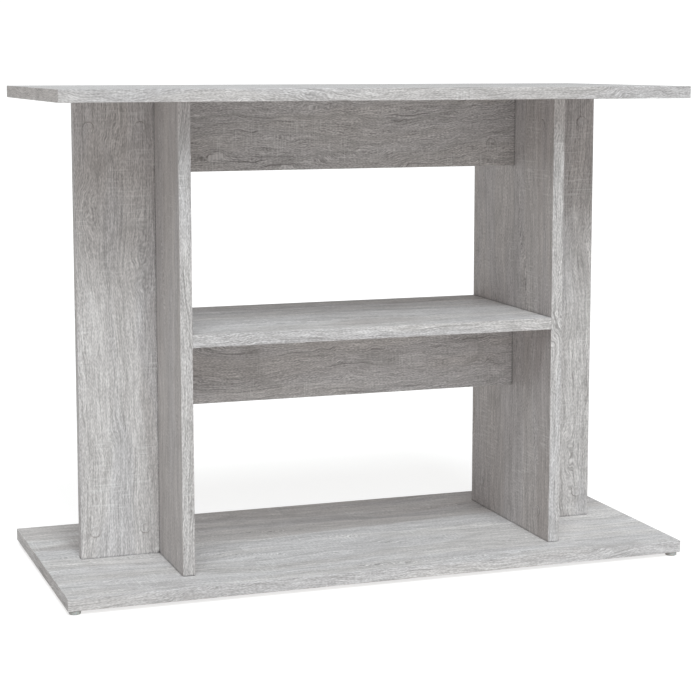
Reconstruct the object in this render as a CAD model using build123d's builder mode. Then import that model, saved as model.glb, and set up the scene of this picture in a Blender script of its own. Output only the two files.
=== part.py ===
from build123d import *

import os

# Aquarium stand of decor-faced chipboard: two boards, two uprights with a wing outside each,
# a shelf at half height, and a stiffening rail under the top board and under the shelf.
# Cam locks and dowels join the panels. Units are millimetres.
# The origin is on the floor, at the centre of the footprint. +X is right, and the front is -Y.

# Driving dimensions
WIDTH = 800
DEPTH = 350
HEIGHT = 605
BOARD = 15
UPRIGHT_SPAN = 500  # over the uprights' outer faces
UPRIGHT_DEPTH = 250
WING_WIDTH = 100
RAIL_HEIGHT = 90

# Edging strips
EDGING = 0.8
EDGING_ROUND = 0.5

# Cam locks: a disc in the panel, and a bolt screwed into the board that its end meets
CAM_REACH = 34  # from the panel's end to the centre of the cam
CAM_DIAMETER = 12
CAM_POCKET = 12.5
CAM_HEIGHT = 12
CAM_CHAMFER = 0.5
CAM_BOLT_ROOM = 7.4
CAM_DRIVE = (6, 1.6)
CAM_DRIVE_DEPTH = 4
BOLT_BORE = 8
BOLT_SHANK = 6
BOLT_HEAD = 7
BOLT_NECK = 4.5
BOLT_HEAD_LENGTH = 3
BOLT_NECK_LENGTH = 5
BOLT_COLLAR = 7.6
BOLT_COLLAR_LENGTH = 3
SCREW_DIAMETER = 5
SCREW_LENGTH = 11
SCREW_POINT = 1.5
COVER_DIAMETER = 14
COVER_HEIGHT = 1
COVER_ROUND = 0.6
COVER_PEG = (5.6, 1.2)
COVER_PEG_LENGTH = 3.5
DRILL_PLAY = 0.5  # a blind bore is this much deeper than what it holds
OVERRUN = 1  # a cutter starts this far outside the face that it enters

# Dowels
DOWEL_DIAMETER = 8
DOWEL_IN_END = 20
DOWEL_IN_FACE = 10
DOWEL_CHAMFER = 1
HOLE_PITCH = 32  # between a cam and the dowel beside it

# Glide feet
FOOT_HEIGHT = 5
FOOT_DIAMETER = 15
FOOT_TAPER = 4
FOOT_ROUND = 1
FOOT_INSET_X = 9.5
FOOT_INSET_Y = 8
NAIL_DIAMETER = 2
NAIL_LENGTH = 10
NAIL_HEAD_DIAMETER = 5
NAIL_HEAD_HEIGHT = 1
NAIL_RECESS = 1.8  # depth of the foot's recess, in which the nail's head sits

# Levels and places that follow from them
FLOOR = FOOT_HEIGHT + BOARD  # upper face of the bottom board
CEILING = HEIGHT - BOARD  # lower face of the top board
OPENING_HEIGHT = CEILING - FLOOR
MIDDLE = (FLOOR + CEILING) / 2
UPRIGHT_OUTER = UPRIGHT_SPAN / 2
UPRIGHT_INNER = UPRIGHT_OUTER - BOARD
UPRIGHT_X = UPRIGHT_OUTER - BOARD / 2
WING_X = UPRIGHT_OUTER + WING_WIDTH / 2
WING_END = UPRIGHT_OUTER + WING_WIDTH
SHELF_LENGTH = 2 * UPRIGHT_INNER
SHELF_BOTTOM = MIDDLE - BOARD / 2
UPPER_RAIL_BOTTOM = CEILING - RAIL_HEIGHT
LOWER_RAIL_BOTTOM = SHELF_BOTTOM - RAIL_HEIGHT
CAM_Y = UPRIGHT_DEPTH / 2 - CAM_REACH
DOWEL_Y = CAM_Y - HOLE_PITCH
RAIL_CAM_RISE = (RAIL_HEIGHT - HOLE_PITCH) / 2
WING_SIDE_DOWEL_PITCH = 180

SIDES = (-1, 1)
# Each end of a standing panel: the face that it meets, and the way into the panel from there
ENDS = ((FLOOR, 1), (CEILING, -1))


def joint(origin, into, opening):
    """Plane of one joint, on the face that a panel's end meets: +Z into the panel, +X to its cam's face."""
    return Plane(origin=origin, x_dir=opening, z_dir=into)


def strip(centre, size, outward):
    """One edging strip, rounded along the edges of the face that shows."""
    with BuildPart(Plane(centre)) as band:
        Box(*size)
        outer_face = band.faces().sort_by(Axis((0, 0, 0), outward))[-1]
        fillet(outer_face.edges(), EDGING_ROUND)
    return band.part


# Joints: cams and dowels of the uprights, the wings, the shelf and the rails

upright_cam_joints = [
    joint((side * UPRIGHT_X, y, level), (0, 0, into), (-side, 0, 0))
    for side in SIDES
    for y in (-CAM_Y, CAM_Y)
    for level, into in ENDS
]
upright_dowel_joints = [
    joint((side * UPRIGHT_X, y, level), (0, 0, into), (-side, 0, 0))
    for side in SIDES
    for y in (-DOWEL_Y, DOWEL_Y)
    for level, into in ENDS
]
wing_cam_joints = [
    joint((side * x, 0, level), (0, 0, into), (0, -1, 0))
    for side in SIDES
    for x in (WING_X - HOLE_PITCH, WING_X + HOLE_PITCH)
    for level, into in ENDS
]
wing_end_dowel_joints = [
    joint((side * WING_X, 0, level), (0, 0, into), (0, -1, 0))
    for side in SIDES
    for level, into in ENDS
]
wing_side_dowel_joints = [
    joint((side * UPRIGHT_OUTER, 0, MIDDLE + rise), (side, 0, 0), (0, -1, 0))
    for side in SIDES
    for rise in (-WING_SIDE_DOWEL_PITCH, 0, WING_SIDE_DOWEL_PITCH)
]
shelf_cam_joints = [
    joint((side * UPRIGHT_INNER, y, MIDDLE), (-side, 0, 0), (0, 0, -1))
    for side in SIDES
    for y in (-CAM_Y, CAM_Y)
]
shelf_dowel_joints = [
    joint((side * UPRIGHT_INNER, y, MIDDLE), (-side, 0, 0), (0, 0, -1))
    for side in SIDES
    for y in (-DOWEL_Y, DOWEL_Y)
]
rail_cam_joints = [
    joint((side * UPRIGHT_INNER, 0, bottom + RAIL_CAM_RISE), (-side, 0, 0), (0, -1, 0))
    for side in SIDES
    for bottom in (LOWER_RAIL_BOTTOM, UPPER_RAIL_BOTTOM)
]
rail_dowel_joints = [
    joint((side * UPRIGHT_INNER, 0, bottom + RAIL_CAM_RISE + HOLE_PITCH), (-side, 0, 0), (0, -1, 0))
    for side in SIDES
    for bottom in (LOWER_RAIL_BOTTOM, UPPER_RAIL_BOTTOM)
]
cam_joints = {
    "upright": upright_cam_joints,
    "wing": wing_cam_joints,
    "shelf": shelf_cam_joints,
    "rail": rail_cam_joints,
}
dowel_joints = {
    "upright": upright_dowel_joints,
    "wing": wing_end_dowel_joints + wing_side_dowel_joints,
    "shelf": shelf_dowel_joints,
    "rail": rail_dowel_joints,
}

# The fittings, each in the frame of its joint plane

CAM_BED = BOARD / 2 - CAM_POCKET  # bottom of the pocket, from the middle of the panel's thickness
CAM_FACE = CAM_BED + CAM_HEIGHT
CAM_AXIS_PLANE = Plane(origin=(0, 0, CAM_REACH), x_dir=(0, 0, 1), z_dir=(1, 0, 0))
BOLT_END = CAM_REACH + BOLT_HEAD_LENGTH / 2
BOLT_NECK_START = BOLT_END - BOLT_HEAD_LENGTH - BOLT_NECK_LENGTH

with BuildPart() as cam:
    with BuildSketch(CAM_AXIS_PLANE.offset(CAM_BED)):
        Circle(CAM_DIAMETER / 2)
    extrude(amount=CAM_HEIGHT)
    chamfer(cam.edges().filter_by(GeomType.CIRCLE), CAM_CHAMFER)
    # room for the bolt, from the cam's rim to just past its head
    with BuildSketch(Plane.XY):
        Circle(CAM_BOLT_ROOM / 2)
    extrude(amount=BOLT_END + DRILL_PLAY, mode=Mode.SUBTRACT)
    # cross recess for the screwdriver and the cover's peg
    with BuildSketch(CAM_AXIS_PLANE.offset(CAM_FACE)):
        Rectangle(*CAM_DRIVE)
        Rectangle(*reversed(CAM_DRIVE))
    extrude(amount=-CAM_DRIVE_DEPTH, mode=Mode.SUBTRACT)

with BuildPart() as cam_bolt:
    with BuildSketch(Plane.XZ):
        with BuildLine():
            Polyline(
                (0, -SCREW_LENGTH),
                (SCREW_DIAMETER / 2 - SCREW_POINT, -SCREW_LENGTH),
                (SCREW_DIAMETER / 2, SCREW_POINT - SCREW_LENGTH),
                (SCREW_DIAMETER / 2, 0),
                (BOLT_COLLAR / 2, 0),
                (BOLT_COLLAR / 2, BOLT_COLLAR_LENGTH),
                (BOLT_SHANK / 2, BOLT_COLLAR_LENGTH),
                (BOLT_SHANK / 2, BOLT_NECK_START),
                (BOLT_NECK / 2, BOLT_NECK_START),
                (BOLT_NECK / 2, BOLT_END - BOLT_HEAD_LENGTH),
                (BOLT_HEAD / 2, BOLT_END - BOLT_HEAD_LENGTH),
                (BOLT_HEAD / 2, BOLT_END),
                (0, BOLT_END),
                close=True,
            )
        make_face()
    revolve(axis=Axis.Z)

with BuildPart() as cam_cover:
    with BuildSketch(CAM_AXIS_PLANE.offset(BOARD / 2)):
        Circle(COVER_DIAMETER / 2)
    extrude(amount=COVER_HEIGHT)
    rim = cam_cover.edges().filter_by(GeomType.CIRCLE).sort_by(Axis.X)[-1]
    fillet(rim, COVER_ROUND)
    with BuildSketch(CAM_AXIS_PLANE.offset(BOARD / 2)):
        Rectangle(*COVER_PEG)
        Rectangle(*reversed(COVER_PEG))
    extrude(amount=-COVER_PEG_LENGTH)

with BuildPart() as dowel:
    with BuildSketch(Plane.XY.offset(-DOWEL_IN_FACE)):
        Circle(DOWEL_DIAMETER / 2)
    extrude(amount=DOWEL_IN_FACE + DOWEL_IN_END)
    chamfer(dowel.edges().filter_by(GeomType.CIRCLE), DOWEL_CHAMFER)

# Cutters for what each fitting needs: in the panel whose end is joined, and in the face that it meets

with BuildPart() as cam_cutter:
    with BuildSketch(CAM_AXIS_PLANE.offset(CAM_BED)):
        Circle(CAM_DIAMETER / 2)
    extrude(amount=CAM_POCKET + OVERRUN)
    with BuildSketch(Plane.XY.offset(-OVERRUN)):
        Circle(BOLT_BORE / 2)
    extrude(amount=OVERRUN + CAM_REACH)

with BuildPart() as screw_cutter:
    with BuildSketch(Plane.XY.offset(OVERRUN)):
        Circle(SCREW_DIAMETER / 2)
    extrude(amount=-(OVERRUN + SCREW_LENGTH + DRILL_PLAY))

with BuildPart() as dowel_end_cutter:
    with BuildSketch(Plane.XY.offset(-OVERRUN)):
        Circle(DOWEL_DIAMETER / 2)
    extrude(amount=OVERRUN + DOWEL_IN_END + DRILL_PLAY)

with BuildPart() as dowel_face_cutter:
    with BuildSketch(Plane.XY.offset(OVERRUN)):
        Circle(DOWEL_DIAMETER / 2)
    extrude(amount=-(OVERRUN + DOWEL_IN_FACE + DRILL_PLAY))


def bore(cutter, planes):
    """Cuts a fitting's bores out of the panel being built, at each joint plane."""
    with Locations(*planes):
        add(cutter.part, mode=Mode.SUBTRACT)


def on_right(planes):
    """The joints of the right-hand side."""
    return [plane for plane in planes if plane.origin.X > 0]


def at_level(planes, low, high):
    """The joints whose origin lies between two heights."""
    return [plane for plane in planes if low <= plane.origin.Z <= high]


pieces = {}

# Glide feet and their nails

foot_places = GridLocations(WIDTH - 2 * FOOT_INSET_X, DEPTH - 2 * FOOT_INSET_Y, 2, 2)

with BuildPart() as feet:
    with BuildSketch(Plane.XY.offset(FOOT_HEIGHT)):
        with foot_places:
            Circle(FOOT_DIAMETER / 2)
    extrude(amount=-FOOT_HEIGHT, taper=FOOT_TAPER)
    fillet(feet.faces().sort_by(Axis.Z)[:4].edges(), FOOT_ROUND)
    with BuildSketch(Plane.XY):
        with foot_places:
            Circle(NAIL_HEAD_DIAMETER / 2)
    extrude(amount=NAIL_RECESS, mode=Mode.SUBTRACT)
    with BuildSketch(Plane.XY):
        with foot_places:
            Circle(NAIL_DIAMETER / 2)
    extrude(amount=FOOT_HEIGHT, mode=Mode.SUBTRACT)
pieces["feet"] = feet.part

with BuildPart() as foot_nails:
    with BuildSketch(Plane.XY.offset(NAIL_RECESS)):
        with foot_places:
            Circle(NAIL_HEAD_DIAMETER / 2)
    extrude(amount=-NAIL_HEAD_HEIGHT)
    with BuildSketch(Plane.XY.offset(NAIL_RECESS)):
        with foot_places:
            Circle(NAIL_DIAMETER / 2)
    extrude(amount=FOOT_HEIGHT - NAIL_RECESS + NAIL_LENGTH)
pieces["foot_nails"] = foot_nails.part

# Top and bottom boards

board_core = (WIDTH - 2 * EDGING, DEPTH - 2 * EDGING, BOARD)
standing_cam_joints = upright_cam_joints + wing_cam_joints
standing_dowel_joints = upright_dowel_joints + wing_end_dowel_joints

with BuildPart() as top_board:
    with Locations((0, 0, HEIGHT - BOARD / 2)):
        Box(*board_core)
    bore(screw_cutter, at_level(standing_cam_joints, CEILING, CEILING))
    bore(dowel_face_cutter, at_level(standing_dowel_joints, CEILING, CEILING))
pieces["top_board"] = top_board.part

with BuildPart() as bottom_board:
    with Locations((0, 0, FOOT_HEIGHT + BOARD / 2)):
        Box(*board_core)
    bore(screw_cutter, at_level(standing_cam_joints, FLOOR, FLOOR))
    bore(dowel_face_cutter, at_level(standing_dowel_joints, FLOOR, FLOOR))
    with BuildSketch(Plane.XY.offset(FOOT_HEIGHT)):
        with foot_places:
            Circle(NAIL_DIAMETER / 2)
    extrude(amount=NAIL_LENGTH, mode=Mode.SUBTRACT)
pieces["bottom_board"] = bottom_board.part

# Uprights and wings: the right one of each, and its mirror image

with BuildPart() as upright_right:
    with Locations((UPRIGHT_X, 0, MIDDLE)):
        Box(BOARD, UPRIGHT_DEPTH - 2 * EDGING, OPENING_HEIGHT)
    bore(cam_cutter, on_right(upright_cam_joints))
    bore(dowel_end_cutter, on_right(upright_dowel_joints))
    bore(screw_cutter, on_right(shelf_cam_joints + rail_cam_joints))
    bore(dowel_face_cutter, on_right(shelf_dowel_joints + rail_dowel_joints + wing_side_dowel_joints))
pieces["upright_right"] = upright_right.part

with BuildPart() as wing_right:
    with Locations((WING_X - EDGING / 2, 0, MIDDLE)):
        Box(WING_WIDTH - EDGING, BOARD, OPENING_HEIGHT)
    bore(cam_cutter, on_right(wing_cam_joints))
    bore(dowel_end_cutter, on_right(wing_end_dowel_joints + wing_side_dowel_joints))
pieces["wing_right"] = wing_right.part

for name in ("upright", "wing"):
    with BuildPart() as left_panel:
        mirror(pieces[name + "_right"], about=Plane.YZ)
    pieces[name + "_left"] = left_panel.part

# Shelf and rails

with BuildPart() as shelf:
    with Locations((0, 0, MIDDLE)):
        Box(SHELF_LENGTH, UPRIGHT_DEPTH - 2 * EDGING, BOARD)
    bore(cam_cutter, shelf_cam_joints)
    bore(dowel_end_cutter, shelf_dowel_joints)
pieces["shelf"] = shelf.part

for name, bottom in (("upper_rail", UPPER_RAIL_BOTTOM), ("lower_rail", LOWER_RAIL_BOTTOM)):
    top = bottom + RAIL_HEIGHT
    with BuildPart() as rail:
        with Locations((0, 0, (bottom + EDGING + top) / 2)):
            Box(SHELF_LENGTH, BOARD, RAIL_HEIGHT - EDGING)
        bore(cam_cutter, at_level(rail_cam_joints, bottom, top))
        bore(dowel_end_cutter, at_level(rail_dowel_joints, bottom, top))
    pieces[name] = rail.part

# Edging strips, on each edge of a panel that shows

strips = {}
for name, bottom in (("top_board", CEILING), ("bottom_board", FOOT_HEIGHT)):
    height = bottom + BOARD / 2
    strips[name + "_long_edging"] = [
        strip((0, way * (DEPTH - EDGING) / 2, height), (WIDTH, EDGING, BOARD), (0, way, 0))
        for way in SIDES
    ]
    strips[name + "_end_edging"] = [
        strip((way * (WIDTH - EDGING) / 2, 0, height), (EDGING, DEPTH - 2 * EDGING, BOARD), (way, 0, 0))
        for way in SIDES
    ]

for name, side in (("left", -1), ("right", 1)):
    strips[f"upright_{name}_edging"] = [
        strip(
            (side * UPRIGHT_X, way * (UPRIGHT_DEPTH - EDGING) / 2, MIDDLE),
            (BOARD, EDGING, OPENING_HEIGHT),
            (0, way, 0),
        )
        for way in SIDES
    ]
    strips[f"wing_{name}_edging"] = [
        strip((side * (WING_END - EDGING / 2), 0, MIDDLE), (EDGING, BOARD, OPENING_HEIGHT), (side, 0, 0))
    ]

strips["shelf_edging"] = [
    strip((0, way * (UPRIGHT_DEPTH - EDGING) / 2, MIDDLE), (SHELF_LENGTH, EDGING, BOARD), (0, way, 0))
    for way in SIDES
]
for name, bottom in (("upper_rail", UPPER_RAIL_BOTTOM), ("lower_rail", LOWER_RAIL_BOTTOM)):
    strips[name + "_edging"] = [
        strip((0, 0, bottom + EDGING / 2), (SHELF_LENGTH, BOARD, EDGING), (0, 0, -1))
    ]

for name, bands in strips.items():
    with BuildPart() as edging:
        add(bands)
    pieces[name] = edging.part

# Cam locks, their bolts and covers, and the dowels, a group for each kind of panel

for name, planes in cam_joints.items():
    for fitting, shape in (("cams", cam), ("cam_bolts", cam_bolt), ("cam_covers", cam_cover)):
        with BuildPart() as group:
            with Locations(*planes):
                add(shape.part)
        pieces[f"{name}_{fitting}"] = group.part

for name, planes in dowel_joints.items():
    with BuildPart() as group:
        with Locations(*planes):
            add(dowel.part)
    pieces[name + "_dowels"] = group.part

os.makedirs("parts", exist_ok=True)
for name, piece in pieces.items():
    piece.label = name
    export_step(piece, f"parts/{name}.step")
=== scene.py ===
import math

import bpy
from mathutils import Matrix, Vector


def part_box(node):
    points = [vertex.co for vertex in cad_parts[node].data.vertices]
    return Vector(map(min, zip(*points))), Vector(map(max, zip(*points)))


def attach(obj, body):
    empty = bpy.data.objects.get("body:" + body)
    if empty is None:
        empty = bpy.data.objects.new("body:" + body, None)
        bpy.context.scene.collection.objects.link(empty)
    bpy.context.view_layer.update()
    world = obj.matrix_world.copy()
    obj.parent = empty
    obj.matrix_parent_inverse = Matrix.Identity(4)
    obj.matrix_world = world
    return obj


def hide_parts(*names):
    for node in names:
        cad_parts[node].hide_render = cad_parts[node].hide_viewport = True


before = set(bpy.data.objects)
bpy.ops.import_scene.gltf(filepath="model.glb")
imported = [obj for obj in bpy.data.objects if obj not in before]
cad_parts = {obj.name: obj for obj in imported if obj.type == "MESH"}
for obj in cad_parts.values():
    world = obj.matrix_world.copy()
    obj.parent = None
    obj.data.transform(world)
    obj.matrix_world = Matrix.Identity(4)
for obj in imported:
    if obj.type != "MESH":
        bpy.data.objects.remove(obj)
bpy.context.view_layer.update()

# Aquarium stand of melamine-faced chipboard with a grey sawn-oak decor.
# Metres; +X right, front -Y, floor at Z 0.

MM = 0.001
BODY = "root"
SMOOTH = {"interpolation_type": "SMOOTHSTEP"}
scene = bpy.context.scene


def srgb(code):
    """Linear colour of an sRGB hex code."""
    channels = [int(code[start : start + 2], 16) / 255 for start in (1, 3, 5)]
    linear = [c / 12.92 if c <= 0.04045 else ((c + 0.055) / 1.055) ** 2.4 for c in channels]
    return (*linear, 1.0)


def add_node(tree, kind, inputs=(), **settings):
    """Adds a node with its settings and inputs: in order, or by socket.

    An input is a value, an output to link, or a node whose first output in use is linked.
    """
    made = tree.nodes.new(kind)
    for name, value in settings.items():
        setattr(made, name, value)
    for socket, value in inputs.items() if isinstance(inputs, dict) else enumerate(inputs):
        if isinstance(value, bpy.types.Node):
            value = next(output for output in value.outputs if output.enabled)
        if isinstance(value, bpy.types.NodeSocket):
            tree.links.new(value, made.inputs[socket])
        else:
            made.inputs[socket].default_value = value
    return made


def stretched_noise(tree, place, size, detail=0.0, seed=0):
    """Noise with cells of this length and width, in the units of place."""
    scale = (1 / size[0], 1 / size[1], 1 / size[1])
    inputs = {"Vector": place, "Location": (0, 0, seed), "Scale": scale}
    scaled = add_node(tree, "ShaderNodeMapping", inputs)
    return add_node(tree, "ShaderNodeTexNoise", {"Vector": scaled, "Scale": 1.0, "Detail": detail})


def new_material(name):
    """A material with an empty tree."""
    material = bpy.data.materials.new(name)
    material.use_nodes = True
    material.node_tree.nodes.clear()
    return material, material.node_tree


def finish_surface(tree, inputs):
    """Ends a material's tree in a Principled shader."""
    shader = add_node(tree, "ShaderNodeBsdfPrincipled", inputs)
    add_node(tree, "ShaderNodeOutputMaterial", (shader,))


# The decor: oak with its saw marks, printed in grey. Its lengths are in millimetres, along and
# across the grain. Real oak fibres are finer than 0.5 mm, and are drawn coarser so that they show.
# A mark fades in between its two limits, which are values of its noise.

RING_SIZE, RING_SWAY = (240, 120), 42  # how the growth rings bend the grain
RIPPLE_SIZE, RIPPLE_SWAY = (52, 26), 7
CURL_SIZE, CURL_SWAY = (24, 14), 10
CURL_PATCH, CURL_LIMITS = (150, 50), (0.48, 0.62)
TINT_SIZE, TINT_LIMITS = (260, 38), (0.42, 0.58)
HEART_SIZE, HEART_LIMITS, HEART_SHARE = (700, 170), (0.53, 0.545), 0.6
RING_LINES, RING_LIMITS, RING_SHARE = 16, (0.8, 0.97), 0.24
PORE_SIZE, PORE_FADE, PORE_SHARE = (8, 0.85), 0.09, 0.4
PORE_LIMIT_IN_DARK, PORE_LIMIT_IN_LIGHT = 0.57, 0.64
CRACK_SIZE, CRACK_LIMITS, CRACK_SHARE = (90, 1.7), (0.70, 0.76), 0.45
SAW_SIZE, SAW_LIMITS, SAW_SHARE = (1.6, 28), (0.57, 0.74), 0.3
SAW_PATCH, SAW_PATCH_LIMITS = (80, 50), (0.5, 0.64)
FIBRE_RELIEF = 0.3  # height of the fibres, against the depth of a pore

# Layers of light and dark along the grain: noise seed, size, detail and share of the tone
BAND_LAYERS = {
    "band": (20, (600, 16), 2.0, 0.09),
    "streak": (21, (150, 3.0), 1.0, 0.08),
}
FIBRE_LAYERS = {
    "fibre": (22, (28, 0.8), 1.0, 0.22),
    "fleck": (23, (3.2, 0.8), 0.0, 0.19),
}
LAYER_LIMITS = (0.25, 0.75)


def bent_grain(tree, place):
    """The place, shifted across the grain so that the grain sways, ripples, and curls in patches."""
    rings = stretched_noise(tree, place, RING_SIZE, 1.0)
    sway = add_node(tree, "ShaderNodeMath", (rings, RING_SWAY), operation="MULTIPLY")
    ripple = stretched_noise(tree, place, RIPPLE_SIZE, 1.0, 10)
    sway = add_node(tree, "ShaderNodeMath", (ripple, RIPPLE_SWAY, sway), operation="MULTIPLY_ADD")
    patch = stretched_noise(tree, place, CURL_PATCH, 0.0, 15)
    inputs = (patch, *CURL_LIMITS, 0.0, CURL_SWAY)
    curl_sway = add_node(tree, "ShaderNodeMapRange", inputs, **SMOOTH)
    curl = stretched_noise(tree, place, CURL_SIZE, 1.0, 12)
    sway = add_node(tree, "ShaderNodeMath", (curl, curl_sway, sway), operation="MULTIPLY_ADD")
    sideways = add_node(tree, "ShaderNodeCombineXYZ", {"Y": sway})
    return add_node(tree, "ShaderNodeVectorMath", (place, sideways), operation="ADD")


def layered(tree, grain, tone, layers, strength):
    """The tone with layers of light and dark added, and each layer by its name."""
    noises = {}
    for name, (seed, size, detail, share) in layers.items():
        noise = stretched_noise(tree, grain, size, detail, seed)
        inputs = (noise, *LAYER_LIMITS, -1.0, 1.0)
        noises[name] = add_node(tree, "ShaderNodeMapRange", inputs, **SMOOTH)
        weight = add_node(tree, "ShaderNodeMath", (strength, share), operation="MULTIPLY")
        inputs = (noises[name], weight, tone)
        tone = add_node(tree, "ShaderNodeMath", inputs, operation="MULTIPLY_ADD")
    return tone, noises


def oak_greys(tree, grain, tone):
    """The decor's greys for a tone, in two tints that change from patch to patch."""
    ramp = add_node(tree, "ShaderNodeValToRGB", (tone,))
    stops = ramp.color_ramp.elements
    stops[0].position, stops[0].color = 0.0, srgb("#85807D")
    stops[1].position, stops[1].color = 1.0, srgb("#ECE8E5")
    middle = stops.new(0.5)
    middle.color = srgb("#C1BCBA")
    hue = stretched_noise(tree, grain, TINT_SIZE, 1.0, 40)
    hue = add_node(tree, "ShaderNodeMapRange", (hue, *TINT_LIMITS, 0.0, 1.0), **SMOOTH)
    inputs = {0: hue, 6: srgb("#FEFCFB"), 7: srgb("#FCFBFC")}
    tint = add_node(tree, "ShaderNodeMix", inputs, data_type="RGBA")
    inputs = {0: 1.0, 6: ramp, 7: tint}
    return add_node(tree, "ShaderNodeMix", inputs, data_type="RGBA", blend_type="MULTIPLY")


def with_heartwood(tree, grain, colour, contrast, bands):
    """The colour with darker heartwood, and with lines of late wood that follow its borders."""
    heart = stretched_noise(tree, grain, HEART_SIZE, 1.0, 45)
    inside = add_node(tree, "ShaderNodeMapRange", (heart, *HEART_LIMITS, 0.0, HEART_SHARE), **SMOOTH)
    inside = add_node(tree, "ShaderNodeMath", (inside, bands), operation="MULTIPLY")
    inputs = {0: inside, 6: colour, 7: srgb("#E2DEDC")}
    colour = add_node(tree, "ShaderNodeMix", inputs, data_type="RGBA", blend_type="MULTIPLY")
    rings = add_node(tree, "ShaderNodeMath", (heart, RING_LINES), operation="MULTIPLY")
    rings = add_node(tree, "ShaderNodeMath", (rings,), operation="FRACT")
    rings = add_node(tree, "ShaderNodeMapRange", (rings, *RING_LIMITS, 0.0, RING_SHARE), **SMOOTH)
    rings = add_node(tree, "ShaderNodeMath", (rings, contrast), operation="MULTIPLY")
    inputs = {0: rings, 6: colour, 7: srgb("#938E8A")}
    return add_node(tree, "ShaderNodeMix", inputs, data_type="RGBA")


def pore_mask(tree, grain, band):
    """Where the pores are: closer together in the darker bands."""
    inputs = (band, -1.0, 1.0, PORE_LIMIT_IN_DARK, PORE_LIMIT_IN_LIGHT)
    limit = add_node(tree, "ShaderNodeMapRange", inputs, **SMOOTH)
    pores = stretched_noise(tree, grain, PORE_SIZE, 1.0, 50)
    pores = add_node(tree, "ShaderNodeMath", (pores, limit), operation="SUBTRACT")
    return add_node(tree, "ShaderNodeMapRange", (pores, 0.0, PORE_FADE, 0.0, 1.0), **SMOOTH)


def saw_mask(tree, place):
    """Where the saw left its marks: lines across the grain, in patches."""
    patch = stretched_noise(tree, place, SAW_PATCH, 1.0, 70)
    patch = add_node(tree, "ShaderNodeMapRange", (patch, *SAW_PATCH_LIMITS, 0.0, 1.0), **SMOOTH)
    marks = stretched_noise(tree, place, SAW_SIZE, 0.0, 80)
    marks = add_node(tree, "ShaderNodeMapRange", (marks, *SAW_LIMITS, 0.0, 1.0), **SMOOTH)
    return add_node(tree, "ShaderNodeMath", (patch, marks), operation="MULTIPLY")


def grey_sawn_oak():
    """Group that gives the decor's colour and relief at a place on the decor paper."""
    tree = bpy.data.node_groups.new("grey_sawn_oak", "ShaderNodeTree")
    tree.interface.new_socket("Place", in_out="INPUT", socket_type="NodeSocketVector")
    tree.interface.new_socket("Contrast", in_out="INPUT", socket_type="NodeSocketFloat")
    tree.interface.new_socket("Bands", in_out="INPUT", socket_type="NodeSocketFloat")
    tree.interface.new_socket("Colour", in_out="OUTPUT", socket_type="NodeSocketColor")
    tree.interface.new_socket("Relief", in_out="OUTPUT", socket_type="NodeSocketFloat")
    given = add_node(tree, "NodeGroupInput")
    place, contrast, bands = (given.outputs[name] for name in ("Place", "Contrast", "Bands"))

    grain = bent_grain(tree, place)
    tone, broad = layered(tree, grain, 0.5, BAND_LAYERS, bands)
    tone, fine = layered(tree, grain, tone, FIBRE_LAYERS, contrast)
    colour = oak_greys(tree, grain, tone)
    colour = with_heartwood(tree, grain, colour, contrast, bands)
    pores = pore_mask(tree, grain, broad["band"])
    cracks = stretched_noise(tree, grain, CRACK_SIZE, 0.0, 60)
    cracks = add_node(tree, "ShaderNodeMapRange", (cracks, *CRACK_LIMITS, 0.0, 1.0), **SMOOTH)
    for mask, share, shade in (
        (pores, PORE_SHARE, "#817C79"),
        (cracks, CRACK_SHARE, "#706B68"),
        (saw_mask(tree, place), SAW_SHARE, "#E7E4E1"),
    ):
        strength = add_node(tree, "ShaderNodeMath", (contrast, share), operation="MULTIPLY")
        strength = add_node(tree, "ShaderNodeMath", (mask, strength), operation="MULTIPLY")
        inputs = {0: strength, 6: colour, 7: srgb(shade)}
        colour = add_node(tree, "ShaderNodeMix", inputs, data_type="RGBA")

    hollows = add_node(tree, "ShaderNodeMath", (pores, cracks), operation="ADD")
    hollows = add_node(tree, "ShaderNodeMath", (hollows, -1.0), operation="MULTIPLY")
    inputs = (fine["fibre"], FIBRE_RELIEF, hollows)
    relief = add_node(tree, "ShaderNodeMath", inputs, operation="MULTIPLY_ADD")
    add_node(tree, "NodeGroupOutput", (colour, relief))
    return tree


DECOR = grey_sawn_oak()

# Turns, in degrees, that lay the decor's grain along the first axis and face it along the second
GRAIN_TURNS = {
    "XZ": (0, 0, 0),
    "XY": (90, 0, 0),
    "ZX": (0, 90, 0),
    "ZY": (90, 0, 90),
    "YX": (90, 90, 0),
}
# Painted shade: where two panels meet, the crevice is painted dark. It fades out between two shares of
# open air.
CREVICE_REACH = 5 * MM
CREVICE_LIMITS = (0.42, 0.64)
PAINTED_CREVICE_SHADE = 0.25
PORE_DEPTH = 0.06 * MM
PORE_ROUGHNESS = 0.12  # how much rougher a pore is than the face


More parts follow.
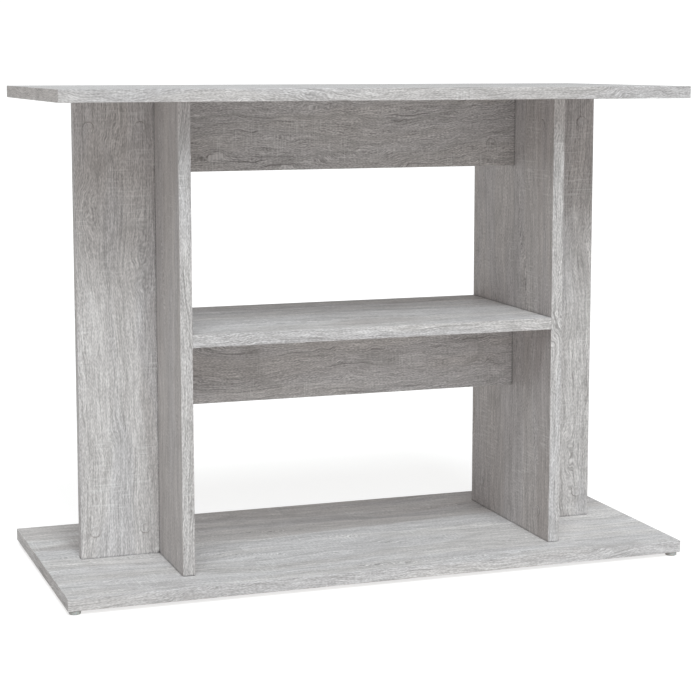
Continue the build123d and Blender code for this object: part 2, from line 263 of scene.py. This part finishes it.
def decor_surface(name, turn, cut, contrast, bands, tone, roughness, relief_strength):
    """A surface printed with the decor, cut from the decor paper at a place in millimetres."""
    material, tree = new_material(name)
    inputs = {
        "Vector": add_node(tree, "ShaderNodeTexCoord").outputs["Object"],
        "Location": cut,
        "Rotation": [math.radians(angle) for angle in GRAIN_TURNS[turn]],
        "Scale": (1 / MM, 1 / MM, 1 / MM),
    }
    place = add_node(tree, "ShaderNodeMapping", inputs)
    inputs = {"Place": place, "Contrast": contrast, "Bands": bands}
    decor = add_node(tree, "ShaderNodeGroup", inputs, node_tree=DECOR)
    # Painted shade: the colour darkens in crevices and joints that see little open air
    open_air = add_node(tree, "ShaderNodeAmbientOcclusion", {"Distance": CREVICE_REACH}, samples=8)
    # The tone scales the whole colour; it is partly painted light and shade
    inputs = (open_air.outputs["AO"], *CREVICE_LIMITS, PAINTED_CREVICE_SHADE * tone, tone)
    shade = add_node(tree, "ShaderNodeMapRange", inputs, **SMOOTH)
    inputs = {0: 1.0, 6: decor, 7: shade}
    colour = add_node(tree, "ShaderNodeMix", inputs, data_type="RGBA", blend_type="MULTIPLY")
    relief = decor.outputs["Relief"]
    inputs = {"Height": relief, "Strength": relief_strength, "Distance": PORE_DEPTH}
    bump = add_node(tree, "ShaderNodeBump", inputs)
    inputs = (relief, -1.0, FIBRE_RELIEF, roughness + PORE_ROUGHNESS, roughness)
    gloss = add_node(tree, "ShaderNodeMapRange", inputs, **SMOOTH)
    finish_surface(tree, {"Base Color": colour, "Roughness": gloss, "Normal": bump, "IOR": 1.5})
    return material


def melamine(panel, turn, cut, contrast, bands, tone):
    """Decor paper pressed onto chipboard under melamine resin: matt, with shallow pressed pores."""
    return decor_surface("melamine_" + panel, turn, cut, contrast, bands, tone, 0.5, 0.6)


def printed_edging(panel, turn, cut, contrast, bands, tone):
    """Printed ABS edging strip: the same decor, a little smoother."""
    return decor_surface("edging_" + panel, turn, cut, contrast, bands, tone, 0.46, 0.4)


def printed_cap(panel, turn, cut, contrast, bands, tone):
    """Moulded ABS cover cap printed with the decor: plainer than the panel and a little darker."""
    return decor_surface("cap_" + panel, turn, cut, 0.9 * contrast, bands, 0.97 * tone, 0.45, 0.2)


def moulded_polyethylene():
    """Injection-moulded polyethylene: waxy, pale, with a faint mould texture of about 0.8 mm."""
    material, tree = new_material("moulded_polyethylene")
    position = add_node(tree, "ShaderNodeTexCoord").outputs["Object"]
    mottle = stretched_noise(tree, position, (4 * MM, 4 * MM), 2.0)
    inputs = {0: mottle, 6: srgb("#A6A5A1"), 7: srgb("#BBBAB6")}
    colour = add_node(tree, "ShaderNodeMix", inputs, data_type="RGBA")
    texture = stretched_noise(tree, position, (0.8 * MM, 0.8 * MM), 1.0, 5)
    bump = add_node(tree, "ShaderNodeBump", {"Height": texture, "Strength": 0.3, "Distance": 0.1 * MM})
    roughness = add_node(tree, "ShaderNodeMapRange", (mottle, 0.3, 0.7, 0.38, 0.5), **SMOOTH)
    inputs = {"Base Color": colour, "Roughness": roughness, "IOR": 1.52, "Normal": bump}
    finish_surface(tree, {**inputs, "Subsurface Weight": 0.1, "Subsurface Scale": 1 * MM})
    return material


def die_cast_zinc():
    """Die-cast zinc alloy: dull grey metal with a slightly orange-peel skin."""
    material, tree = new_material("die_cast_zinc")
    position = add_node(tree, "ShaderNodeTexCoord").outputs["Object"]
    cloud = stretched_noise(tree, position, (3 * MM, 3 * MM), 3.0)
    inputs = {0: cloud, 6: srgb("#9FA1A3"), 7: srgb("#C2C4C6")}
    colour = add_node(tree, "ShaderNodeMix", inputs, data_type="RGBA")
    skin = stretched_noise(tree, position, (0.6 * MM, 0.6 * MM), 2.0, 5)
    bump = add_node(tree, "ShaderNodeBump", {"Height": skin, "Strength": 0.4, "Distance": 0.05 * MM})
    roughness = add_node(tree, "ShaderNodeMapRange", (cloud, 0.3, 0.7, 0.35, 0.5), **SMOOTH)
    finish_surface(tree, {"Base Color": colour, "Metallic": 1.0, "Roughness": roughness, "Normal": bump})
    return material


def zinc_plated_steel():
    """Turned steel under bright zinc plating: cool and shiny, with a light cloud of passivation."""
    material, tree = new_material("zinc_plated_steel")
    position = add_node(tree, "ShaderNodeTexCoord").outputs["Object"]
    cloud = stretched_noise(tree, position, (5 * MM, 5 * MM), 2.0)
    inputs = {0: cloud, 6: srgb("#BFC4CA"), 7: srgb("#D8DAD6")}
    colour = add_node(tree, "ShaderNodeMix", inputs, data_type="RGBA")
    wear = stretched_noise(tree, position, (1.5 * MM, 1.5 * MM), 2.0, 5)
    roughness = add_node(tree, "ShaderNodeMapRange", (wear, 0.3, 0.7, 0.22, 0.36), **SMOOTH)
    finish_surface(tree, {"Base Color": colour, "Metallic": 1.0, "Roughness": roughness})
    return material


def bright_drawn_steel():
    """Bright drawn wire, as nails are headed from: shiny, with fine scratches."""
    material, tree = new_material("bright_drawn_steel")
    position = add_node(tree, "ShaderNodeTexCoord").outputs["Object"]
    scratches = stretched_noise(tree, position, (2 * MM, 0.4 * MM), 2.0)
    inputs = {0: scratches, 6: srgb("#BDBDBB"), 7: srgb("#D5D4D1")}
    colour = add_node(tree, "ShaderNodeMix", inputs, data_type="RGBA")
    roughness = add_node(tree, "ShaderNodeMapRange", (scratches, 0.3, 0.7, 0.25, 0.42), **SMOOTH)
    inputs = {"Height": scratches, "Strength": 0.3, "Distance": 0.02 * MM}
    bump = add_node(tree, "ShaderNodeBump", inputs)
    finish_surface(tree, {"Base Color": colour, "Metallic": 1.0, "Roughness": roughness, "Normal": bump})
    return material


def turned_beech():
    """Turned, pressed beech: pale pink-brown with the short dark flecks of its rays."""
    material, tree = new_material("turned_beech")
    position = add_node(tree, "ShaderNodeTexCoord").outputs["Object"]
    cloud = stretched_noise(tree, position, (9 * MM, 9 * MM), 2.0)
    inputs = {0: cloud, 6: srgb("#C9A27A"), 7: srgb("#DEBD96")}
    colour = add_node(tree, "ShaderNodeMix", inputs, data_type="RGBA")
    flecks = stretched_noise(tree, position, (1.2 * MM, 1.2 * MM), 0.0, 5)
    flecks = add_node(tree, "ShaderNodeMapRange", (flecks, 0.62, 0.7, 0.0, 0.6), **SMOOTH)
    inputs = {0: flecks, 6: colour, 7: srgb("#96693F")}
    colour = add_node(tree, "ShaderNodeMix", inputs, data_type="RGBA")
    bump = add_node(tree, "ShaderNodeBump", {"Height": flecks, "Strength": 0.3, "Distance": 0.05 * MM})
    finish_surface(tree, {"Base Color": colour, "Roughness": 0.55, "IOR": 1.5, "Normal": bump})
    return material


def dress(node, material):
    """Gives a CAD node its material."""
    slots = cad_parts[node].data.materials
    slots.clear()
    slots.append(material)


# How the decor lies on each panel: its turn, its place on the decor paper in millimetres, the
# contrast of its fibres and of its bands, and its tone. The tone is partly the decor's own and
# partly painted light and shade, set panel by panel; the upper rail is painted darker for the
# shade that falls under the top board.
PANELS = {
    "top_board": ("XZ", (-670, 4100, 0), 0.8, 1.0, 1.1),
    "bottom_board": ("XZ", (970, 3480, 60), 0.95, 1.1, 1.09),
    "shelf": ("XZ", (550, -4600, 120), 0.9, 0.9, 1.05),
    "upper_rail": ("XY", (320, 2310, 30), 1.15, 0.35, 0.97),
    "lower_rail": ("XY", (1230, -4190, 90), 1.05, 0.6, 1.1),
    "upright_left": ("ZX", (1680, -320, 10), 0.8, 0.8, 1.0),
    "upright_right": ("ZX", (2970, -4550, 75), 0.95, 0.8, 1.1),
    "wing_left": ("ZY", (-2220, 3650, 20), 0.8, 0.5, 1.09),
    "wing_right": ("ZY", (2370, -2550, 55), 0.85, 0.9, 1.02),
}
# The edging strips' tones, too, are partly painted light and shade, set strip by strip
EDGINGS = {
    "top_board_long_edging": ("XY", (2220, -1410, 0), 0.9, 0.6, 1.03),
    "top_board_end_edging": ("YX", (90, 1500, 0), 1.0, 0.6, 1.12),
    "bottom_board_long_edging": ("XY", (-2160, 4800, 0), 0.85, 0.6, 1.03),
    "bottom_board_end_edging": ("YX", (60, 2100, 0), 1.0, 0.6, 1.0),
    "shelf_edging": ("XY", (-920, -1100, 0), 1.0, 0.6, 1.04),
    "upper_rail_edging": ("XZ", (820, 2700, 0), 1.0, 0.6, 1.0),
    "lower_rail_edging": ("XZ", (-870, 3000, 0), 1.0, 0.6, 1.0),
    "upright_left_edging": ("ZY", (-1070, 3500, 0), 0.95, 0.4, 1.01),
    "upright_right_edging": ("ZY", (-1380, 4550, 0), 0.95, 0.6, 1.04),
    "wing_left_edging": ("ZX", (3100, 3900, 0), 1.0, 0.6, 1.0),
    "wing_right_edging": ("ZX", (-2480, 4200, 0), 1.0, 0.6, 1.0),
}
for panel, finish in PANELS.items():
    dress(panel, melamine(panel, *finish))
for strip, finish in EDGINGS.items():
    dress(strip, printed_edging(strip, *finish))

zinc, plated_steel, beech = die_cast_zinc(), zinc_plated_steel(), turned_beech()
for panel in ("upright", "wing", "shelf", "rail"):
    dress(panel + "_cams", zinc)
    dress(panel + "_cam_bolts", plated_steel)
    dress(panel + "_dowels", beech)
dress("foot_nails", bright_drawn_steel())

# Turned shapes: an outline of radii and heights is swept round an axis, and stands at each place

OUTWARD = "outward"
WELD = 0.004 * MM  # joins the sheet's two sides, and its points on the axis
SHARP = 35  # degrees between two faces, past which their edge isn't smoothed


def arc(centre, radii, start, end):
    """Five points of an outline, along an ellipse from one angle to another, in degrees."""
    angles = [math.radians(start + (end - start) * share) for share in (0, 0.25, 0.5, 0.75, 1)]
    return [
        (centre[0] + radii[0] * math.cos(angle), centre[1] + radii[1] * math.sin(angle))
        for angle in angles
    ]


def outline_curve(tree, along, values):
    """Float curve through evenly spaced values, with straight runs between them."""
    curve = add_node(tree, "ShaderNodeFloatCurve", {"Value": along})
    mapping = curve.mapping
    mapping.use_clip = False
    points = mapping.curves[0].points
    last = len(values) - 1
    points[0].location, points[1].location = (0.0, values[0]), (1.0, values[-1])
    for index in range(1, last):
        points.new(index / last, values[index])
    for point in points:
        point.handle_type = "VECTOR"
    mapping.update()
    return curve


def turned_pieces(name, outline, radius, height, segments, places, material, body):
    """One mesh of equal turned pieces. The outline's radii and heights are shares of radius and height.

    Each place is a point and the direction of the piece's axis.
    """
    tree = bpy.data.node_groups.new("turned_" + name, "GeometryNodeTree")
    tree.interface.new_socket("Places", in_out="INPUT", socket_type="NodeSocketGeometry")
    sizes = {"Radius": radius, "Height": height}
    sockets = {
        label: tree.interface.new_socket(label, in_out="INPUT", socket_type="NodeSocketFloat")
        for label in sizes
    }
    tree.interface.new_socket("Pieces", in_out="OUTPUT", socket_type="NodeSocketGeometry")
    given = add_node(tree, "NodeGroupInput")

    # a sheet, rolled round the axis by its X and shaped along the outline by its Y
    inputs = {"Size X": 1.0, "Size Y": 1.0, "Vertices X": segments + 1, "Vertices Y": len(outline)}
    sheet = add_node(tree, "GeometryNodeMeshGrid", inputs)
    corner = add_node(tree, "ShaderNodeSeparateXYZ", (add_node(tree, "GeometryNodeInputPosition"),))
    turn = add_node(tree, "ShaderNodeMath", (corner.outputs["X"], 2 * math.pi), operation="MULTIPLY")
    along = add_node(tree, "ShaderNodeMath", (corner.outputs["Y"], 0.5), operation="ADD")
    reach = outline_curve(tree, along, [point[0] for point in outline])
    reach = add_node(tree, "ShaderNodeMath", (reach, given.outputs["Radius"]), operation="MULTIPLY")
    rise = outline_curve(tree, along, [point[1] for point in outline])
    rise = add_node(tree, "ShaderNodeMath", (rise, given.outputs["Height"]), operation="MULTIPLY")
    cosine = add_node(tree, "ShaderNodeMath", (turn,), operation="COSINE")
    sine = add_node(tree, "ShaderNodeMath", (turn,), operation="SINE")
    inputs = (
        add_node(tree, "ShaderNodeMath", (reach, cosine), operation="MULTIPLY"),
        add_node(tree, "ShaderNodeMath", (reach, sine), operation="MULTIPLY"),
        rise,
    )
    swept = add_node(tree, "ShaderNodeCombineXYZ", inputs)
    lathed = add_node(tree, "GeometryNodeSetPosition", {"Geometry": sheet, "Position": swept})
    closed = add_node(tree, "GeometryNodeMergeByDistance", {"Geometry": lathed, "Distance": WELD})
    angle = add_node(tree, "GeometryNodeInputMeshEdgeAngle")
    sharp = add_node(tree, "ShaderNodeMath", (angle, math.radians(SHARP)), operation="GREATER_THAN")
    smooth = add_node(tree, "GeometryNodeSetShadeSmooth", {"Geometry": closed}, domain="FACE")
    inputs = {"Geometry": smooth, "Selection": sharp, "Shade Smooth": False}
    turned = add_node(tree, "GeometryNodeSetShadeSmooth", inputs, domain="EDGE")

    axis = add_node(tree, "GeometryNodeInputNamedAttribute", {"Name": OUTWARD}, data_type="FLOAT_VECTOR")
    stand = add_node(tree, "FunctionNodeAlignRotationToVector", {"Vector": axis}, axis="Z")
    inputs = {"Points": given.outputs["Places"], "Instance": turned, "Rotation": stand}
    copies = add_node(tree, "GeometryNodeInstanceOnPoints", inputs)
    real = add_node(tree, "GeometryNodeRealizeInstances", (copies,))
    dressed = add_node(tree, "GeometryNodeSetMaterial", {"Geometry": real, "Material": material})
    add_node(tree, "NodeGroupOutput", (dressed,))

    seeds = bpy.data.meshes.new(name + "_places")
    seeds.from_pydata([place for place, _ in places], [], [])
    outward = seeds.attributes.new(OUTWARD, "FLOAT_VECTOR", "POINT")
    outward.data.foreach_set("vector", [value for _, way in places for value in way])
    maker = bpy.data.objects.new(name + "_maker", seeds)
    scene.collection.objects.link(maker)
    modifier = maker.modifiers.new("turned", "NODES")
    modifier.node_group = tree
    for label, value in sizes.items():
        modifier[sockets[label].identifier] = value
    evaluated = maker.evaluated_get(bpy.context.evaluated_depsgraph_get())
    mesh = bpy.data.meshes.new_from_object(evaluated)
    maker.modifiers.clear()
    bpy.data.objects.remove(maker)
    piece = bpy.data.objects.new(name, mesh)
    scene.collection.objects.link(piece)
    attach(piece, body)
    return piece


# Cover caps over the cams: each is a shallow dish inside a rounded rim

CAP_RADIUS, CAP_HEIGHT = 7 * MM, 1 * MM
CAP_SEGMENTS = 40
CAP_OUTLINE = (
    (0.0, 0.0),
    (1.0, 0.0),
    *arc((0.85, 0.35), (0.15, 0.65), 0, 90),
    (0.77, 0.95),
    (0.68, 0.82),
    (0.55, 0.74),
    (0.0, 0.7),
)
CAM_REACH = 34 * MM  # from a panel's end to its cams
DEEP_CAM_INSET = 34 * MM  # from the front and rear edges of an upright or the shelf
WING_CAM_INSET = 18 * MM  # from the two long edges of a wing
RAIL_CAM_RISE = 29 * MM  # from the lower edge of a rail


def both(low, high, inset):
    """Two places, inset from the two ends of a range."""
    return low + inset, high - inset


def cap_places(panel, way):
    """Where a panel's caps sit on its face towards way: above its cams, at each end."""
    low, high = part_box(panel)
    edge_low, edge_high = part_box(panel + "_edging")
    low = [min(pair) for pair in zip(low, edge_low)]
    high = [max(pair) for pair in zip(high, edge_high)]
    if panel.startswith("upright"):
        x = high[0] if way[0] > 0 else low[0]
        across = both(low[1], high[1], DEEP_CAM_INSET)
        return [((x, y, z), way) for y in across for z in both(low[2], high[2], CAM_REACH)]
    if panel.startswith("wing"):
        across = both(low[0], high[0], WING_CAM_INSET)
        return [((x, low[1], z), way) for x in across for z in both(low[2], high[2], CAM_REACH)]
    if panel == "shelf":
        across = both(low[1], high[1], DEEP_CAM_INSET)
        return [((x, y, low[2]), way) for x in both(low[0], high[0], CAM_REACH) for y in across]
    return [((x, low[1], low[2] + RAIL_CAM_RISE), way) for x in both(low[0], high[0], CAM_REACH)]


CAPPED = {
    "upright_left": ("upright_cam_covers", (1, 0, 0)),
    "upright_right": ("upright_cam_covers", (-1, 0, 0)),
    "wing_left": ("wing_cam_covers", (0, -1, 0)),
    "wing_right": ("wing_cam_covers", (0, -1, 0)),
    "shelf": ("shelf_cam_covers", (0, 0, -1)),
    "upper_rail": ("rail_cam_covers", (0, -1, 0)),
    "lower_rail": ("rail_cam_covers", (0, -1, 0)),
}
for panel, (cover_node, way) in CAPPED.items():
    caps = turned_pieces(
        panel + "_cover_caps",
        CAP_OUTLINE,
        CAP_RADIUS,
        CAP_HEIGHT,
        CAP_SEGMENTS,
        cap_places(panel, way),
        printed_cap(panel, *PANELS[panel]),
        BODY,
    )
    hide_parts(cover_node)

# Glide feet: a tapered button with a recess for its nail's head

GLIDE_RADIUS, GLIDE_HEIGHT = 7.5 * MM, 5 * MM
GLIDE_SEGMENTS = 48
GLIDE_OUTLINE = (
    (0.14, 1.0),
    (0.14, 0.36),
    (0.335, 0.36),
    (0.345, 0.05),
    (0.42, 0.0),
    *arc((0.77, 0.25), (0.18, 0.25), -90, 0),
    (0.985, 0.8),
    (1.0, 0.94),
    (0.98, 1.0),
    (0.14, 1.0),
)
low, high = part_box("feet")
glide_places = [
    ((x, y, low[2]), (0, 0, 1))
    for x in both(low[0], high[0], GLIDE_RADIUS)
    for y in both(low[1], high[1], GLIDE_RADIUS)
]
glides = turned_pieces(
    "glides",
    GLIDE_OUTLINE,
    GLIDE_RADIUS,
    GLIDE_HEIGHT,
    GLIDE_SEGMENTS,
    glide_places,
    moulded_polyethylene(),
    BODY,
)
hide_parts("feet")

# Camera

CAMERA_PLACE = (-0.7924, -2.2536, 0.6371)
CAMERA_YAW = 19.52  # degrees towards +X from straight back
CAMERA_PITCH = 7.35  # degrees below level
CAMERA_LENS = 95.93
CAMERA_SHIFT = (0.0012, -0.07)

lens = bpy.data.cameras.new("camera")
lens.lens = CAMERA_LENS
lens.shift_x, lens.shift_y = CAMERA_SHIFT
camera = bpy.data.objects.new("camera", lens)
camera.location = CAMERA_PLACE
camera.rotation_euler = (math.radians(90 - CAMERA_PITCH), 0, math.radians(-CAMERA_YAW))
scene.collection.objects.link(camera)
scene.camera = camera

# Floor, lights and surroundings

FLOOR_RADIUS = 60.0
TABLE_GLOW, TABLE_GLOW_SEEN = 0.3, 0.7


def opal_acrylic():
    """Opal acrylic of a shooting table, lit from below so that shadows on it stay pale."""
    material, tree = new_material("opal_acrylic")
    seen = add_node(tree, "ShaderNodeLightPath").outputs["Is Camera Ray"]
    glow = add_node(tree, "ShaderNodeMapRange", (seen, 0.0, 1.0, TABLE_GLOW, TABLE_GLOW_SEEN))
    inputs = {"Base Color": srgb("#ADAAA7"), "Roughness": 0.8, "Emission Color": (1, 1, 1, 1)}
    finish_surface(tree, {**inputs, "Emission Strength": glow})
    return material


bpy.ops.mesh.primitive_circle_add(vertices=96, radius=FLOOR_RADIUS, fill_type="NGON")
floor = bpy.context.object
floor.name = "floor"
floor.data.materials.append(opal_acrylic())

# Each light: azimuth and elevation that it shines from, in degrees, and its strength. Azimuth 0 is
# the front.
LIGHTS = {
    "key_light": (0, 52, 1.3),
    "low_light": (0, 35, 0.48),
    "left_light": (-30, 58, 0.94),
    "right_light": (100, 25, 0.66),
    "back_light": (180, 35, 0.2),
}
LIGHT_SOFTNESS = 16  # degrees across
LIGHT_COLOUR = (0.857, 0.955, 1.0)
WORLD_LIGHT = 0.372
WORLD_SEEN = 1.1

for name, (azimuth, elevation, strength) in LIGHTS.items():
    sun = bpy.data.lights.new(name, "SUN")
    sun.energy = strength
    sun.angle = math.radians(LIGHT_SOFTNESS)
    sun.color = LIGHT_COLOUR
    lamp = bpy.data.objects.new(name, sun)
    turn, rise = math.radians(azimuth), math.radians(elevation)
    source = Vector((math.sin(turn) * math.cos(rise), -math.cos(turn) * math.cos(rise), math.sin(rise)))
    lamp.rotation_euler = source.to_track_quat("Z", "Y").to_euler()
    scene.collection.objects.link(lamp)

scene.view_settings.view_transform = "Standard"
world = bpy.data.worlds.new("white_surroundings")
scene.world = world
world.use_nodes = True
sky = world.node_tree
sky.nodes.clear()
seen = add_node(sky, "ShaderNodeLightPath").outputs["Is Camera Ray"]
brightness = add_node(sky, "ShaderNodeMapRange", (seen, 0.0, 1.0, WORLD_LIGHT, WORLD_SEEN))
glow = add_node(sky, "ShaderNodeBackground", ((1, 1, 1, 1), brightness))
add_node(sky, "ShaderNodeOutputWorld", (glow,))
